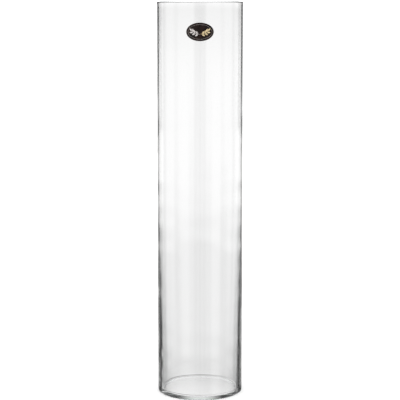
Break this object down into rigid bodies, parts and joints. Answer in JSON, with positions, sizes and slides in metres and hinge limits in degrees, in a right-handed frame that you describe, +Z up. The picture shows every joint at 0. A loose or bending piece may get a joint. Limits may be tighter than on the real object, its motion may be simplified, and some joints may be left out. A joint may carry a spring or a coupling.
{
  "type": "glass cylinder vase",
  "caption": "Tall straight-sided clear glass cylinder vase, open at the top, with a small oval foil label near the rim.",
  "frame": {"origin": "centre of the foot, on the surface that the vase stands on", "axes": "+Z up along the vase's axis; the label faces -Y"},
  "size_m": [0.13, 0.1303, 0.6],
  "materials": {
    "clear_glass": "clear blown soda-lime glass, fire-polished rim",
    "label_glue": "thin clear-grey acrylic glue",
    "label_black_film": "glossy brown-black printed film",
    "silver_foil": "hot-stamped silver foil",
    "gold_foil": "hot-stamped pale gold foil"
  },
  "bodies": {
    "root": {"glass_vessel": "clear_glass", "label_adhesive": "label_glue", "label_film": "label_black_film", "label_border": "silver_foil", "label_silver_sprig": "silver_foil", "label_gold_sprig": "gold_foil"}
  },
  "joints": []
}
